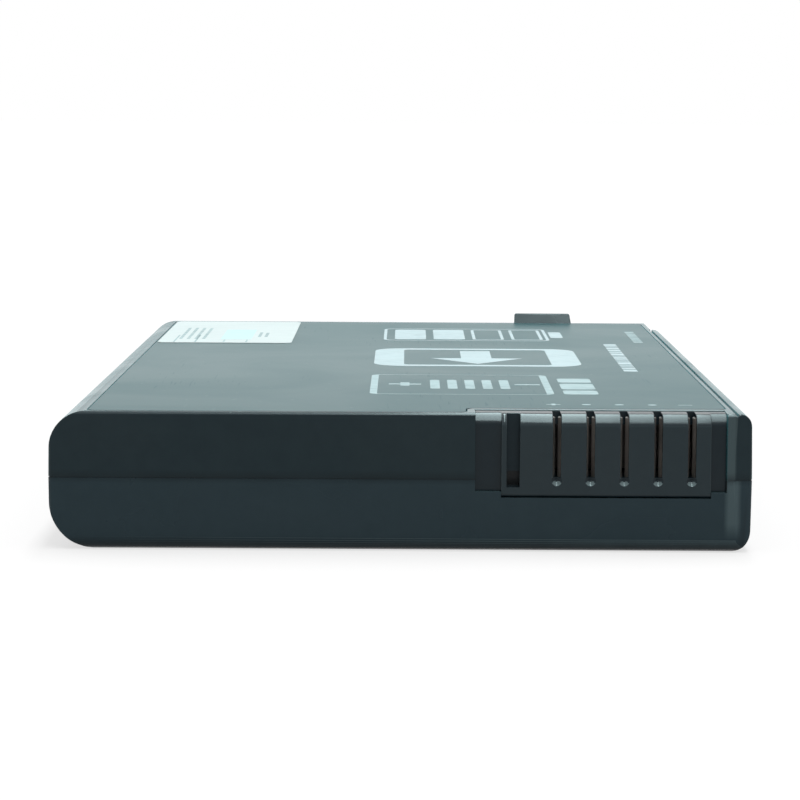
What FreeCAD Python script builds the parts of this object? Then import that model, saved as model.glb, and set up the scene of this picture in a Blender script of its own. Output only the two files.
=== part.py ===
import FreeCAD, Part
import math
import os

from FreeCAD import Vector

# Battery pack in millimetres. X runs across to the right, Y runs back from the contact end, Z is up.
# The origin is the middle of the underside. The case is sized outwards from the cells that it holds.

# Cells
cell_diameter = 18.3
cell_length = 65.0
cell_count = 8
cells_in_pair = 2
cell_gap = 0.15
cell_clearance = 0.15
cell_shoulder = 1.0

# Case walls and the room around the cells
wall = 1.5
floor_thickness = 1.4
roof_thickness = 1.35
front_room = 16.25
stack_end_gap = 0.3
left_end_margin = 0.0332
terminal_room = 1.6
board_room = 34.0

# Outer form of the case
top_left_radius = 5.8
bottom_left_radius = 7.5
top_right_radius = 2.0
bottom_right_radius = 3.3
front_bottom_radius = 2.0
front_top_radius = 0.6
rear_bottom_radius = 3.0
rear_top_radius = 0.8
front_left_radius = 1.0
front_right_radius = 0.8
rear_left_radius = 4.0
rear_right_radius = 1.5
rail_end_radius = 1.2
smallest_inner_radius = 0.6
draft = 0.2
facet_width = 3.2
facet_depth = 1.0
ridge_radius = 2.8
trim_margin = 0.05

# Seam between the half shells
seam_height = 11.15
lip_thickness = 0.65
lip_height = 1.2
lip_clearance = 0.1
seam_groove_depth = 0.1
seam_groove_half = 0.08

# Side rail on the right, its edge groove and its detent
rail_width = 2.55
rail_rear_setback = 16.5
rail_groove_width = 0.45
rail_groove_depth = 0.4
detent_from_rear = 41.5
detent_width = 1.2
detent_depth = 0.7
detent_rise = 1.0

# Lug on the rear edge of the roof
lug_width = 12.2
lug_from_right = 17.95
lug_height = 1.95
lug_thickness = 2.0
lug_setback = 0.35
lug_root = 1.0
lug_left_lean = 0.1
lug_right_lean = 0.5
lug_front_lean = 1.3
lug_radius = 0.4

# Film in the roof and the label on it
film_thickness = 0.25
film_fit = 0.2
film_left_margin = 5.75
film_right_margin = 0.85
film_rear_margin = 2.9
film_front_margin = 0.9
film_bay_margin = 1.2
film_radius = 1.5
label_thickness = 0.1
label_width = 26.0
label_length = 49.0
label_inset = 0.3
label_radius = 1.5

# Connector bay and the housing in it
bay_right_margin = 3.95
bay_depth = 5.2
bay_floor = 9.25
bay_fit = 0.05
board_rise = 0.05
flange_width = 4.0
flange_setback = 1.3
channel_width = 2.45
block_setback = 0.15
block_top_drop = 0.15
block_edge_radius = 2.2
block_drop = 0.9
block_foot_radius = 0.6
flange_edge_radius = 2.0
housing_depth = 12.0
housing_roof_gap = 0.2
wing_reach = 1.2
wing_thickness = 2.6
wing_fit = 0.2
key_wall = 0.8
key_width = 2.0
key_depth = 2.0
key_floor = 9.95
key_pocket_height = 2.3
key_to_slot = 5.65
slot_width = 1.25
slot_pitch = 5.15
slot_depth = 4.6
slot_floor = 11.5
slot_to_edge = 2.9
lead_in_drop = 0.5
lead_in_radius = 0.8
lead_in_depth = 0.4
lead_in_tip = 0.2
mouth_thickness = 1.2
cavity_width = 2.9
cavity_roof = 0.6
cavity_drop = 0.3

# Fork contacts
contact_names = ["positive", "clock", "data", "sense", "negative"]
contact_thickness = 0.35
contact_side_gap = 0.1
contact_end_gap = 0.15
contact_throat = 0.4
contact_flare = 1.8
throat_from_tip = 1.2
spring_length = 5.4
contact_bend_radius = 0.5
pin_width = 0.8
pin_reach = 0.8
pin_clearance = 0.15

# Protection board, its posts and its parts
board_thickness = 1.6
board_rear_margin = 6.4
board_gap = 0.5
board_radius = 1.0
post_diameter = 5.0
post_pin_diameter = 1.6
post_pin_rise = 0.8
post_clearance = 0.15
post_side_inset = 4.0
post_front_inset = 17.0
post_rear_inset = 4.5
chip_width = 4.4
chip_length = 9.7
chip_height = 1.1
switch_width = 5.0
switch_length = 6.0
switch_height = 1.0
fuse_width = 4.0
fuse_length = 9.5
fuse_height = 2.0
shunt_width = 3.2
shunt_length = 6.4
shunt_height = 0.8
part_side_inset = 15.5
part_row_inset = 24.0
part_row_pitch = 12.5

# Welded links
strip_thickness = 0.2
strip_width = 8.0
strip_overhang = 4.0
weld_slit_width = 0.8
weld_slit_length = 5.0
tongue_width = 4.0
tongue_length = 4.0

# Leads, thermistor and insulating sheet
lead_width = 3.0
lead_thickness = 0.6
lead_roof_gap = 0.3
lead_bend_radius = 5.0
lead_landing = 9.0
sensor_width = 1.6
sensor_thickness = 0.8
sensor_bend_radius = 3.0
bead_size = 2.6
bead_length = 5.0
bead_bevel = 0.8
bead_from_left = 32.0
bead_gap = 0.2
sheet_thickness = 0.4
sheet_gap = 0.3
sheet_edge_gap = 0.1
sheet_radius = 3.0
window_clearance = 0.3

# Ribs that hold the front of the cell stack
rib_thickness = 1.5
rib_gap = 0.3
rib_height_gap = 0.5

# Places worked out from the sizes above
pitch = cell_diameter + cell_gap
stack_length = cell_count * pitch - cell_gap
inner_corner = max(top_left_radius, bottom_left_radius) - wall
corner_reach = inner_corner - math.sqrt(inner_corner ** 2 - (inner_corner - cell_clearance) ** 2)
left_room = corner_reach + draft - cell_shoulder + left_end_margin
case_width = 2 * wall + left_room + cell_length + terminal_room + board_room
case_length = 2 * wall + front_room + stack_length + stack_end_gap
case_height = floor_thickness + roof_thickness + cell_diameter + 2 * cell_clearance
half_width = case_width / 2
front = -case_length / 2
rear = case_length / 2
reach = case_length
cells_left = -half_width + wall + left_room
cells_right = cells_left + cell_length
axis_height = floor_thickness + cell_clearance + cell_diameter / 2
roof_inside = case_height - roof_thickness
stack_front = rear - wall - stack_end_gap - stack_length
rail_end = rear - rail_rear_setback
body_right = half_width - rail_width

block_width = key_wall + key_width + key_to_slot + (len(contact_names) - 1) * slot_pitch + slot_to_edge
bay_right = half_width - bay_right_margin
bay_left = bay_right - channel_width - block_width - flange_width
block_right = bay_right - channel_width
block_left = block_right - block_width
housing_rear = front + housing_depth
housing_top = roof_inside - housing_roof_gap
block_top = case_height - block_top_drop
slot_rear = front + slot_depth
cavity_top = housing_top - cavity_roof
slot_cavity_top = block_top - cavity_roof
cavity_floor = slot_floor - cavity_drop

board_top = bay_floor + board_rise
board_bottom = board_top - board_thickness
board_left = cells_right + terminal_room + board_gap
board_right = half_width - wall - board_gap
board_front = front + wall + facet_depth + board_gap
lead_landing_x = board_left + lead_landing
tongue_top = roof_inside - lead_roof_gap - lead_thickness
bead_rest = (cell_diameter + bead_size) / 2 + bead_gap
bead_height = axis_height + math.sqrt(bead_rest ** 2 - (pitch / 2) ** 2)


def cell_centre(number):
    """Y of a cell's axis, counted from the rear, starting at 0."""
    return rear - wall - stack_end_gap - cell_diameter / 2 - number * pitch


def valley(number):
    """Y of the valley between a cell and the next one towards the front."""
    return (cell_centre(number) + cell_centre(number + 1)) / 2


negative_valley = cells_in_pair - 1
board_rear = valley(negative_valley) + board_rear_margin


def slot_centre(number):
    """X of a contact slot, counted from the left, starting at 0."""
    return block_left + key_wall + key_width + key_to_slot + number * slot_pitch


# Drawing helpers
def box(x0, x1, y0, y1, z0, z1):
    return Part.makeBox(x1 - x0, y1 - y0, z1 - z0, Vector(x0, y0, z0))


def rounded_face(corners, place):
    """Face bounded by straight runs and tangent corner arcs. A corner is (first, second, radius)."""
    count = len(corners)
    bends = []
    for index, (first, second, radius) in enumerate(corners):
        here = Vector(first, second, 0)
        before = Vector(*corners[index - 1][:2], 0)
        after = Vector(*corners[(index + 1) % count][:2], 0)
        inward = (before - here).normalize()
        outward = (after - here).normalize()
        half_angle = inward.getAngle(outward) / 2
        run = radius / math.tan(half_angle)
        bends.append((here + inward * run, here, here + outward * run, radius, half_angle))
    edges = []
    for index, (enter, here, leave, radius, half_angle) in enumerate(bends):
        if radius > 0:
            bisector = ((enter + leave) * 0.5 - here).normalize()
            middle = here + bisector * (radius / math.sin(half_angle) - radius)
            edges.append(Part.Arc(*[place(p.x, p.y) for p in (enter, middle, leave)]).toShape())
        following = bends[(index + 1) % count][0]
        edges.append(Part.LineSegment(place(leave.x, leave.y), place(following.x, following.y)).toShape())
    return Part.Face(Part.Wire(edges))


def plate(corners, bottom, thickness):
    """Flat piece drawn in plan, standing on the given height."""
    return rounded_face(corners, lambda x, y: Vector(x, y, bottom)).extrude(Vector(0, 0, thickness))


def rectangle(x0, x1, y0, y1, radius):
    return [(x0, y0, radius), (x1, y0, radius), (x1, y1, radius), (x0, y1, radius)]


def side_profile(corners, x0, x1):
    """Prism whose section is drawn in Y and Z and which runs across from x0 to x1."""
    return rounded_face(corners, lambda y, z: Vector(x0, y, z)).extrude(Vector(x1 - x0, 0, 0))


# Case
def inner_radius(radius, inset):
    return radius if inset == 0 else max(radius - inset, smallest_inner_radius)


def case_form(side=0.0, bottom=0.0, top=0.0):
    """Outer form of the closed case, drawn in at its sides, its underside and its top."""
    left, right = -half_width + side, half_width - side
    near, far = front + side, rear - side
    low, high = bottom, case_height - top
    across = rounded_face([
        (left + draft, low, inner_radius(bottom_left_radius, side)),
        (right - draft, low, inner_radius(bottom_right_radius, side)),
        (right, seam_height, 0),
        (right - draft, high, inner_radius(top_right_radius, side)),
        (left + draft, high, inner_radius(top_left_radius, side)),
        (left, seam_height, 0)], lambda x, z: Vector(x, -reach, z)).extrude(Vector(0, 2 * reach, 0))
    along = side_profile([
        (near + draft, low, inner_radius(front_bottom_radius, side)),
        (far - draft, low, inner_radius(rear_bottom_radius, side)),
        (far, seam_height, 0),
        (far - draft, high, inner_radius(rear_top_radius, side)),
        (near + draft, high, inner_radius(front_top_radius, side)),
        (near, seam_height, 0)], -reach, reach)
    trim_left, trim_right = left - trim_margin, right + trim_margin
    trim_front, trim_rear = near - trim_margin, far + trim_margin
    plan = plate([
        (trim_left, trim_front, inner_radius(front_left_radius, side)),
        (trim_right - facet_width, trim_front, inner_radius(ridge_radius, side)),
        (trim_right, trim_front + facet_depth, inner_radius(front_right_radius, side)),
        (trim_right, rail_end - side, inner_radius(rail_end_radius, side)),
        (body_right - side, rail_end - side, 0),
        (body_right - side, trim_rear, inner_radius(rear_right_radius, side)),
        (trim_left, trim_rear, inner_radius(rear_left_radius, side))], -reach, 2 * reach)
    return across.common(along).common(plan)


def layer(bottom, top):
    """Everything between two heights."""
    return box(-reach, reach, -reach, reach, bottom, top)


def bay_opening():
    """Opening in the front corner, deeper where the contact block hangs below its flange."""
    bay = box(bay_left, bay_right, front - reach, front + bay_depth, bay_floor, reach)
    return bay.fuse(box(block_left - bay_fit, block_right + bay_fit, front - reach, front + bay_depth,
                        bay_floor - block_drop, reach))


def seam_groove():
    """Narrow groove round the outside at the seam."""
    ring = layer(seam_height - seam_groove_half, seam_height + seam_groove_half)
    return ring.cut(case_form(seam_groove_depth))


def post_places():
    """X and Y of each board post, and whether a locating pin stands on it: one corner pair has pins."""
    for side, x in enumerate((board_left + post_side_inset, board_right - post_side_inset)):
        for end, y in enumerate((board_front + post_front_inset, board_rear - post_rear_inset)):
            yield x, y, side == end


def make_lower_case():
    shell = case_form().common(layer(-reach, seam_height))
    lip = case_form(wall - lip_thickness).common(layer(seam_height, seam_height + lip_height))
    shell = shell.fuse(lip).cut(case_form(wall, floor_thickness, roof_thickness))
    rib_front = stack_front - rib_gap - rib_thickness
    rib_left = -half_width + wall / 2
    rib = box(rib_left, cells_right, rib_front, rib_front + rib_thickness, floor_thickness / 2, seam_height)
    shell = shell.fuse(rib.common(case_form(wall / 2)))
    for x, y, has_pin in post_places():
        foot = Vector(x, y, floor_thickness / 2)
        shell = shell.fuse(Part.makeCylinder(post_diameter / 2, board_bottom - foot.z, foot))
        if has_pin:
            pin_height = board_top + post_pin_rise - foot.z
            shell = shell.fuse(Part.makeCylinder(post_pin_diameter / 2, pin_height, foot))
    return shell.cut(bay_opening()).cut(seam_groove()).removeSplitter()


def film_outline(gap):
    """Outline of the film, drawn in by a gap, with its front cut back behind the connector bay."""
    left = -half_width + film_left_margin + gap
    right = body_right - film_right_margin - gap
    back = rear - film_rear_margin - gap
    step = bay_left - film_bay_margin - gap
    near = front + film_front_margin + gap
    behind_bay = front + bay_depth + film_bay_margin + gap
    return [(left, near, film_radius), (step, near, film_radius), (step, behind_bay, film_radius),
            (right, behind_bay, film_radius), (right, back, film_radius), (left, back, film_radius)]


def make_lug():
    """Finger lug on the rear edge, with a sloping front and sides that lean inwards."""
    right = half_width - lug_from_right
    left = right - lug_width
    top = case_height + lug_height
    base = case_height - lug_root
    back = rear - lug_setback
    near = back - lug_thickness
    section = [(left, base, 0), (right, base, 0), (right - lug_right_lean, top, lug_radius),
               (left + lug_left_lean, top, lug_radius)]
    across = rounded_face(section, lambda x, z: Vector(x, near, z)).extrude(Vector(0, lug_thickness, 0))
    slope = side_profile([(near, base, 0), (back, base, 0), (back, top, 0),
                          (near + lug_front_lean, top, lug_radius)], left, right)
    return across.common(slope)


def make_upper_case():
    shell = case_form().common(layer(seam_height, reach))
    shell = shell.cut(case_form(wall, floor_thickness, roof_thickness))
    rabbet = case_form(wall - lip_thickness - lip_clearance)
    shell = shell.cut(rabbet.common(layer(seam_height, seam_height + lip_height + lip_clearance)))
    rib_front = stack_front - rib_gap - rib_thickness
    rib_foot = seam_height + lip_height + rib_height_gap
    rib = box(-half_width + wall + left_room, cells_right, rib_front, rib_front + rib_thickness,
              rib_foot, case_height - roof_thickness / 2)
    shell = shell.fuse(rib).fuse(make_lug())
    shell = shell.cut(plate(film_outline(0), case_height - film_thickness, reach))
    groove_left = body_right - rail_groove_width / 2
    shell = shell.cut(box(groove_left, groove_left + rail_groove_width, front - reach, rail_end,
                          case_height - rail_groove_depth, reach))
    detent_y = rear - detent_from_rear
    shell = shell.cut(box(half_width - detent_depth, reach, detent_y - detent_width / 2,
                          detent_y + detent_width / 2, seam_height + lip_height + detent_rise, reach))
    return shell.cut(bay_opening()).cut(seam_groove()).removeSplitter()


def make_face_film():
    return plate(film_outline(film_fit), case_height - film_thickness, film_thickness)


def make_rear_label():
    left = -half_width + film_left_margin + film_fit + label_inset
    back = rear - film_rear_margin - film_fit - label_inset
    outline = rectangle(left, left + label_width, back - label_length, back, label_radius)
    return plate(outline, case_height, label_thickness)


# Connector
def make_connector_housing():
    bay_rear = front + bay_depth - bay_fit
    near = front + block_setback
    flange_front = front + flange_setback
    foot = bay_floor - block_drop + bay_fit
    wall_inside = front + wall
    block = side_profile([
        (near, foot, block_foot_radius),
        (wall_inside, foot, 0),
        (wall_inside, board_top, 0),
        (bay_rear, board_top, 0),
        (bay_rear, block_top, 0),
        (near, block_top, block_edge_radius)], block_left, block_right)
    flange = side_profile([
        (flange_front, board_top, 0),
        (bay_rear, board_top, 0),
        (bay_rear, block_top, 0),
        (flange_front, block_top, flange_edge_radius)], bay_left + bay_fit, bay_right - bay_fit)
    body = box(block_left, block_right, flange_front, housing_rear, board_top, housing_top)
    wing_front = front + wall + facet_depth + wing_fit
    wings = box(bay_left - wing_reach, bay_right + wing_reach, wing_front, wing_front + wing_thickness,
                board_top, housing_top)
    housing = block.fuse([flange, body, wings])
    mouth = front + mouth_thickness
    key_left = block_left + key_wall
    key_right = key_left + key_width
    cuts = [box(key_left, key_right, front - reach, front + key_depth, key_floor, reach),
            box(key_left, key_right, front - reach, slot_rear, key_floor, key_floor + key_pocket_height)]
    for number in range(len(contact_names)):
        middle = slot_centre(number)
        left, right = middle - slot_width / 2, middle + slot_width / 2
        cuts.append(box(left, right, front - reach, slot_rear, slot_floor, reach))
        cuts.append(Part.makeCone(lead_in_radius, lead_in_tip, lead_in_depth,
                                  Vector(middle, near, slot_floor - lead_in_drop), Vector(0, 1, 0)))
        left, right = middle - cavity_width / 2, middle + cavity_width / 2
        cuts.append(box(left, right, mouth, housing_rear, cavity_floor, cavity_top))
        cuts.append(box(left, right, mouth, slot_rear, cavity_floor, slot_cavity_top))
    return housing.cut(cuts).removeSplitter()


def make_contact(number):
    """Fork of sheet metal: two sprung arms that stand taller in the slot, a rear plate and a board pin."""
    middle = slot_centre(number)
    outer = cavity_width / 2 - contact_side_gap
    root = outer - contact_thickness
    throat = contact_throat / 2
    flare = contact_flare / 2
    tip = front + mouth_thickness + contact_end_gap
    throat_y = tip + throat_from_tip
    spring_y = throat_y + spring_length
    low, high = cavity_floor + contact_end_gap, cavity_top - contact_end_gap
    tall = slot_cavity_top - contact_end_gap
    back = housing_rear + contact_thickness
    pieces = [box(middle - outer, middle + outer, housing_rear, back, low, high),
              box(middle - pin_width / 2, middle + pin_width / 2, housing_rear, back,
                  board_bottom - pin_reach, high)]
    behind_slot = box(-reach, reach, slot_rear - contact_end_gap, reach, high, reach)
    bend = contact_bend_radius
    for hand in (-1, 1):
        inside = [(root, back, 0), (root, spring_y, bend), (throat, throat_y, bend), (flare, tip, 0)]
        outside = [(across + contact_thickness, along, radius) for across, along, radius in inside]
        arm = [(middle + hand * across, along, radius) for across, along, radius in inside + outside[::-1]]
        pieces.append(plate(arm, low, tall - low).cut(behind_slot))
    return pieces[0].fuse(pieces[1:]).removeSplitter()


# Board
def make_circuit_board():
    outline = rectangle(board_left, board_right, board_front, board_rear, board_radius)
    board = plate(outline, board_bottom, board_thickness)
    hole = post_pin_diameter / 2 + post_clearance
    for x, y, has_pin in post_places():
        if has_pin:
            board = board.cut(Part.makeCylinder(hole, board_thickness, Vector(x, y, board_bottom)))
    half_slot = pin_width / 2 + pin_clearance
    for number in range(len(contact_names)):
        x = slot_centre(number)
        board = board.cut(box(x - half_slot, x + half_slot, housing_rear - pin_clearance,
                              housing_rear + contact_thickness + pin_clearance, board_bottom, board_top))
    return board


def make_board_part(row, across, along, high):
    """Soldered part on the board, placed by its row from the front of the board."""
    x = board_right - part_side_inset
    y = board_front + part_row_inset + row * part_row_pitch
    return box(x - across / 2, x + across / 2, y - along / 2, y + along / 2, board_top, board_top + high)


# Cells and links
def make_cell(number):
    """Sleeved flat-topped can with bevelled ends, lying across the pack."""
    radius = cell_diameter / 2
    end = cell_length
    outline = [(0, 0), (0, radius - cell_shoulder), (cell_shoulder, radius), (end - cell_shoulder, radius),
               (end, radius - cell_shoulder), (end, 0)]
    section = rounded_face([(along, out, 0) for along, out in outline], lambda x, z: Vector(x, 0, z))
    can = section.revolve(Vector(0, 0, 0), Vector(1, 0, 0), 360)
    can.translate(Vector(cells_left, cell_centre(number), axis_height))
    return can


def weld_plate(first, last, x0, x1):
    """Link plate across the ends of the cells from first to last, slit at each weld."""
    near = cell_centre(last) - strip_overhang
    far = cell_centre(first) + strip_overhang
    low, high = axis_height - strip_width / 2, axis_height + strip_width / 2
    link = box(x0, x1, near, far, low, high)
    for number in range(first, last + 1):
        y = cell_centre(number)
        link = link.cut(box(x0, x1, y - weld_slit_width / 2, y + weld_slit_width / 2,
                            axis_height - weld_slit_length / 2, axis_height + weld_slit_length / 2))
    return link


def make_left_link(first, last, lead_valley):
    """Link on the left ends, with a tongue that rises and folds over the valley where its lead starts."""
    outside = cells_left - strip_thickness
    y0, y1 = valley(lead_valley) - tongue_width / 2, valley(lead_valley) + tongue_width / 2
    near, far = min(y0, cell_centre(last)), max(y1, cell_centre(first))
    link = weld_plate(first, last, outside, cells_left)
    foot = box(outside, cells_left, near, far, axis_height + weld_slit_length / 2,
               axis_height + strip_width / 2)
    riser = box(outside, cells_left, y0, y1, axis_height + weld_slit_length / 2, tongue_top)
    tongue = box(outside, cells_left + tongue_length, y0, y1, tongue_top - strip_thickness, tongue_top)
    return link.fuse([foot, riser, tongue]).removeSplitter()


def right_tongue(tongue_valley, gap=0.0):
    """Tongue of a right-hand link, reaching onto the board."""
    y = valley(tongue_valley)
    half = tongue_width / 2 + gap
    return box(cells_right, board_left + tongue_length, y - half, y + half,
               board_top - gap, board_top + strip_thickness + gap)


def make_right_link(first, last, tongue_valley):
    link = weld_plate(first, last, cells_right, cells_right + strip_thickness)
    return link.fuse(right_tongue(tongue_valley)).removeSplitter()


# Leads and sheet
def bent_ribbon(start, top, width, thickness, bend, y):
    """Flat lead that runs right from start, bends down and ends on the board."""
    near, far = lead_landing_x - thickness / 2, lead_landing_x + thickness / 2
    section = [(start, top, 0), (far, top, bend + thickness), (far, board_top, 0), (near, board_top, 0),
               (near, top - thickness, bend), (start, top - thickness, 0)]
    face = rounded_face(section, lambda x, z: Vector(x, y - width / 2, z))
    return face.extrude(Vector(0, width, 0))


def make_lead(lead_valley):
    return bent_ribbon(cells_left, tongue_top + lead_thickness, lead_width, lead_thickness,
                       lead_bend_radius, valley(lead_valley))


def make_thermistor(bead_valley):
    """Potted bead with clipped edges resting on two cells, with its flat twin lead."""
    y = valley(bead_valley)
    start = cells_left + bead_from_left
    half = bead_size / 2
    bead = box(start, start + bead_length, y - half, y + half, bead_height - half, bead_height + half)
    bead = bead.makeChamfer(bead_bevel, bead.Edges)
    lead = bent_ribbon(start + bead_length / 2, bead_height + sensor_thickness / 2, sensor_width,
                       sensor_thickness, sensor_bend_radius, y)
    return bead.fuse(lead).removeSplitter()


def make_cell_insulator(right_valleys, lead_valleys):
    """Sheet between the links and the board, with windows for the tongues and notches for the leads."""
    x0 = cells_right + strip_thickness + sheet_gap
    x1 = x0 + sheet_thickness
    low, high = floor_thickness + sheet_edge_gap, roof_inside - sheet_edge_gap
    sheet = side_profile(rectangle(stack_front, stack_front + stack_length, low, high, sheet_radius), x0, x1)
    for number in right_valleys:
        sheet = sheet.cut(right_tongue(number, window_clearance))
    notch_half = lead_width / 2 + window_clearance
    notch_floor = bead_height - sensor_thickness / 2 - window_clearance
    for number in lead_valleys:
        y = valley(number)
        sheet = sheet.cut(box(x0, x1, y - notch_half, y + notch_half, notch_floor, high))
    return sheet


# Assembly: the pairs run in series from the negative link at the rear to the positive link at the front
def make_pieces():
    pair = cells_in_pair
    last = cell_count - 1
    middle = cell_count // 2
    middle_valley, positive_valley = middle - 1, last - pair
    low_valley, high_valley = middle - pair, last - 1
    bead_valley = middle
    pieces = {
        "lower_case": make_lower_case(),
        "upper_case": make_upper_case(),
        "face_film": make_face_film(),
        "rear_label": make_rear_label(),
        "connector_housing": make_connector_housing(),
        "circuit_board": make_circuit_board(),
        "discharge_switch": make_board_part(0, switch_width, switch_length, switch_height),
        "charge_switch": make_board_part(1, switch_width, switch_length, switch_height),
        "safety_fuse": make_board_part(2, fuse_width, fuse_length, fuse_height),
        "shunt_resistor": make_board_part(3, shunt_width, shunt_length, shunt_height),
        "gauge_chip": make_board_part(4, chip_width, chip_length, chip_height),
        "strip_negative": make_left_link(0, pair - 1, negative_valley),
        "strip_tap_low": make_right_link(0, middle - 1, low_valley),
        "strip_tap_mid": make_left_link(pair, last - pair, middle_valley),
        "strip_tap_high": make_right_link(middle, last, high_valley),
        "strip_positive": make_left_link(last - pair + 1, last, positive_valley),
        "lead_negative": make_lead(negative_valley),
        "lead_tap_mid": make_lead(middle_valley),
        "lead_positive": make_lead(positive_valley),
        "thermistor": make_thermistor(bead_valley),
        "cell_insulator": make_cell_insulator(
            [low_valley, high_valley],
            [negative_valley, middle_valley, positive_valley, bead_valley]),
    }
    for number in range(cell_count):
        pieces["cell_%d" % (number + 1)] = make_cell(number)
    for number, name in enumerate(contact_names):
        pieces["contact_" + name] = make_contact(number)
    return pieces


os.makedirs("parts", exist_ok=True)
for name, shape in make_pieces().items():
    shape.exportStep("parts/%s.step" % name)
    print(name, len(shape.Solids), "solid", round(shape.Volume, 2), shape.isValid())
print("size", round(case_width, 3), round(case_length, 3), round(case_height, 3))
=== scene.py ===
import math

import bmesh
import bpy
from mathutils import Matrix, Vector


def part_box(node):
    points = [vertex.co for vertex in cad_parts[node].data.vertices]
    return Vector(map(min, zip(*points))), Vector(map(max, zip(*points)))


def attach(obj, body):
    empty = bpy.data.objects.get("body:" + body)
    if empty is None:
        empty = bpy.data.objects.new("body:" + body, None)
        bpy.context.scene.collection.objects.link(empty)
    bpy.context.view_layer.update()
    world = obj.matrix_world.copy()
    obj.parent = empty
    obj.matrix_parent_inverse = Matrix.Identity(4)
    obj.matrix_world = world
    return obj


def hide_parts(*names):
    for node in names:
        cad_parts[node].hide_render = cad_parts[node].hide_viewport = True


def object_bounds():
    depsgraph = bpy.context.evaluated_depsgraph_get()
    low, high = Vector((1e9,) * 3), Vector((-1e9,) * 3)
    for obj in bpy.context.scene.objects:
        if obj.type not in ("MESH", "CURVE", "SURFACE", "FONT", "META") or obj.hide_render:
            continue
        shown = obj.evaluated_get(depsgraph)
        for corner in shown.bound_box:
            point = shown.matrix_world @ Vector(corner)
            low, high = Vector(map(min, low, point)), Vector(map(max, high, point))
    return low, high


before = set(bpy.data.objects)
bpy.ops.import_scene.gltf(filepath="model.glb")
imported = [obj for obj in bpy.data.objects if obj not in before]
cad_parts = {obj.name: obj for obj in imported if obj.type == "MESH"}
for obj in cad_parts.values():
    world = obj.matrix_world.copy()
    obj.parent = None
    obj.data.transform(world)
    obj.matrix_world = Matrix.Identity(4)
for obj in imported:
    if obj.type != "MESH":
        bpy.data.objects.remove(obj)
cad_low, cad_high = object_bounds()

# Dressing of a flat battery pack: moulded shells, connector, printed film, label, cells and board.
# Lengths are in metres, and in millimetres where print is laid out.
# X runs to the right, Y runs back from the contact end and Z is up.

MM = 0.001
BODY = "root"
scene = bpy.context.scene
film_low, film_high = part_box("face_film")
film_top = film_high.z
label_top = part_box("rear_label")[1].z
housing_low, housing_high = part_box("connector_housing")
housing_middle = (housing_low.z + housing_high.z) / 2
contacts_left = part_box("contact_positive")[0].x
contacts_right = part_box("contact_negative")[1].x
seam_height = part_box("upper_case")[0].z

# Edge rounding of the moulded pieces
SHELL_ROUNDING = 0.14 * MM
HOUSING_ROUNDING = 0.12 * MM
ROUNDING_STEPS = 2
ROUNDING_INDEX = 1
ROUNDED_FROM = math.radians(40)
CREASED_FROM = math.radians(28)
OUTER_SHARE = 0.7
FLAT_ANGLE = math.radians(0.4)
MERGE_DISTANCE = 0.0005 * MM

# Regions of the moulded pieces, where what lies within NEARBY of a height or a face counts as on it
NEARBY = 0.12 * MM
BAY_REACH = 5.6 * MM
BLOCK_LEFT_REACH = 7.4 * MM
BLOCK_RIGHT_REACH = 1.9 * MM
BLOCK_DEPTH = 3.5 * MM
BLOCK_FOOT = 0.3 * MM
INSIDE_DEPTH = 1.4 * MM
LEAD_IN_DEPTH = 0.5 * MM
FACES_FORWARD = -0.9
FACES_UP = 0.5
SLANTS_FORWARD = -0.3
SLANTS_UP = 0.2

# How far faces are polished smooth and painted pale as a highlight, with rough ones below zero that keep
# their colour
EDGE_HIGHLIGHT_AND_POLISH = 0.15
BLOCK_PAINTED_LIGHT_AND_POLISH = 0.08
BAY_HIGHLIGHT_AND_POLISH = 0.6
LIP_HIGHLIGHT_AND_POLISH = 1.0
LEAD_IN_HIGHLIGHT_AND_POLISH = 0.75
INSIDE_POLISH = -2.0
LUG_POLISH = -1.05

# Shine of the plastics from side to top, and sheen of the film and the upper shell at a low angle
SIDE_TO_TOP = (0.15, 0.5)
FILM_SHEEN = 0.25
SHELL_SHEEN = 0.24
SHEEN_SPREAD = 0.3
SHEEN_TINT = (0.1, 0.9, 1.0, 1)

# Wear, dirt and painted light. A corner highlight is its middle and its reach, and it fades in over the
# heights of its foot
FILM_RUB = 0.05
FILM_RUB_REACH = 60 * MM
UPPER_CORNER_HIGHLIGHT = (50.4 * MM, 0.9 * MM)
LOWER_CORNER_HIGHLIGHT = (50.75 * MM, 1.4 * MM)
CORNER_HIGHLIGHT_FOOT = (2.0 * MM, 4.5 * MM)
# Painted shade along the seam and the foot
SEAM_SHADE_LIFT = 0.2 * MM
SEAM_SHADE_REACH = 1.1 * MM
FOOT_SHADE_REACH = 2.4 * MM
PAINTED_SHADE_COLOUR = (0.003, 0.01, 0.013, 1)
SCUFF_COLOUR = (0.09, 0.1, 0.105, 1)
DUST_COLOUR = (0.4, 0.42, 0.42, 1)
FILM_DUST_COLOUR = (0.35, 0.37, 0.37, 1)

# Grain of the moulded plastics and drawing lines of the metals
CASE_GRAIN = 2900.0
CONNECTOR_GRAIN = 4200.0
DRAWN_STRETCH = (1, 0.05, 1)
DRAWN_FINENESS = 5200.0

# Print
INK_THICKNESS = 0.02 * MM
ARC_STEPS = 6
CONTACTS = ("positive", "clock", "data", "sense", "negative")

# Place of the camera, found from the photograph's edges
CAMERA_PLACE = Vector((0.9, -495.8, 69.45)) * MM
CAMERA_LENS = 122.9
CAMERA_SENSOR = 36.0
CAMERA_TURN = math.radians(0.14)
CAMERA_TILT = math.radians(90 - 6.39)
CAMERA_ROLL = math.radians(0.31)
CAMERA_NEAR = 0.01
CAMERA_FAR = 20.0

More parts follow.
